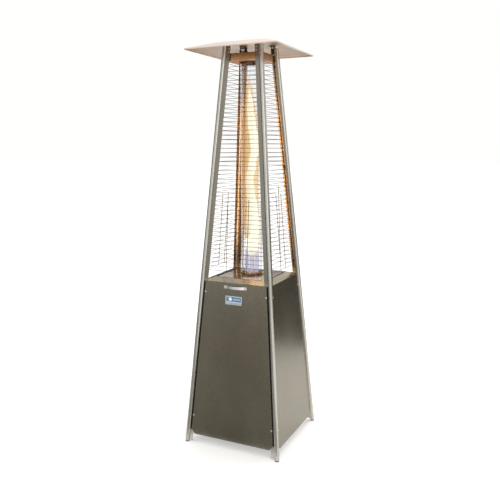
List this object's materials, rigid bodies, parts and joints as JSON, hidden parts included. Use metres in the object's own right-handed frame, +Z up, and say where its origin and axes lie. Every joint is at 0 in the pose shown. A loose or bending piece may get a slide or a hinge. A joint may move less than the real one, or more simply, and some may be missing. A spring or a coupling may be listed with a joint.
{
  "type": "outdoor gas heater",
  "caption": "Tall gas patio heater: leaning tube legs, steel cabinet with tilt-out door and cylinder shelf, glass flame tube behind wire guards, shallow square hood.",
  "frame": {"origin": "centre of the footprint, on the floor", "axes": "+Z up, -Y towards the door, +X to the right as seen from the door"},
  "size_m": [0.61, 0.61, 2.3145],
  "materials": {
    "leg_steel": "drawn stainless tube, satin along its length",
    "cabinet_steel": "brushed stainless sheet",
    "deck_steel": "brushed stainless sheet, warmed by the flame",
    "pan_steel": "stainless sheet, heat tinted",
    "hood_steel": "brushed stainless sheet",
    "handle_steel": "bright satin steel strip",
    "burner_steel": "heat-darkened steel",
    "bracket_steel": "dark plated steel",
    "inner_steel": "zinc-plated sheet",
    "screw_steel": "plated steel",
    "wire": "welded bright wire",
    "glass": "clear quartz glass tube",
    "foot_plastic": "black moulded plastic",
    "magnet_plastic": "black moulded plastic",
    "knob_plastic": "black moulded plastic, fine texture",
    "button_plastic": "red moulded plastic",
    "label_film": "printed film, plain colour bands",
    "brass": "machined brass",
    "copper": "bare copper line",
    "gas_pipe_metal": "bare drawn tube",
    "valve_metal": "die cast body",
    "ceramic": "glazed ceramic and wire"
  },
  "bodies": {
    "root": {"lower_leg_front_right": "leg_steel", "upper_leg_front_right": "leg_steel", "lower_leg_back_right": "leg_steel", "upper_leg_back_right": "leg_steel", "lower_leg_back_left": "leg_steel", "upper_leg_back_left": "leg_steel", "lower_leg_front_left": "leg_steel", "upper_leg_front_left": "leg_steel", "foot_caps": "foot_plastic", "panel_right": "cabinet_steel", "panel_back": "cabinet_steel", "panel_left": "cabinet_steel", "panel_screws": "screw_steel", "cylinder_shelf": "inner_steel", "cylinder_locator": "inner_steel", "shelf_screws": "screw_steel", "magnet_catches": "magnet_plastic", "hinge_brackets": "inner_steel", "hinge_pins": "screw_steel", "deck_pan": "deck_steel", "deck_screws": "screw_steel", "tube_seat": "burner_steel", "seat_screws": "screw_steel", "burner_cup": "burner_steel", "burner_head": "burner_steel", "burner_bracket": "inner_steel", "gas_jet": "brass", "jet_straps": "inner_steel", "gas_pipe": "gas_pipe_metal", "pilot_burner": "gas_pipe_metal", "thermocouple": "copper", "spark_electrode": "ceramic", "control_plate": "inner_steel", "gas_valve": "valve_metal", "gas_inlet": "brass", "igniter_body": "knob_plastic", "tilt_switch": "magnet_plastic", "glass_tube": "glass", "top_collar": "burner_steel", "top_pan": "pan_steel", "top_pan_screws": "screw_steel", "reflector": "hood_steel", "reflector_brackets": "bracket_steel", "bracket_screws": "screw_steel", "reflector_bolts": "screw_steel", "guard_front": "wire", "guard_right": "wire", "guard_back": "wire", "guard_left": "wire", "guard_clips": "bracket_steel"},
    "door": {"front_door": "cabinet_steel", "door_corner_screws": "screw_steel", "door_handle": "handle_steel", "handle_screws": "screw_steel", "door_label": "label_film", "strike_plates": "inner_steel"},
    "push_sleeve": {"stem_sleeve": "brass"},
    "knob": {"valve_stem": "screw_steel", "control_knob": "knob_plastic"},
    "igniter": {"igniter_button": "button_plastic"}
  },
  "joints": [
    {"name": "door_tilt", "type": "hinge", "parent": "root", "child": "door", "pos_m": [0, -0.2829, 0.056], "axis": [1, 0, 0], "range_deg": [0, 70]},
    {"name": "knob_push", "type": "slide", "parent": "root", "child": "push_sleeve", "axis": [0, 1, 0], "range_m": [0, 0.004], "stiffness_N_per_m": 1200},
    {"name": "knob_turn", "type": "hinge", "parent": "push_sleeve", "child": "knob", "pos_m": [-0.028, -0.17, 0.9], "axis": [0, -1, 0], "range_deg": [0, 180]},
    {"name": "igniter_push", "type": "slide", "parent": "root", "child": "igniter", "axis": [0, 1, 0], "range_m": [0, 0.006], "stiffness_N_per_m": 600}
  ]
}
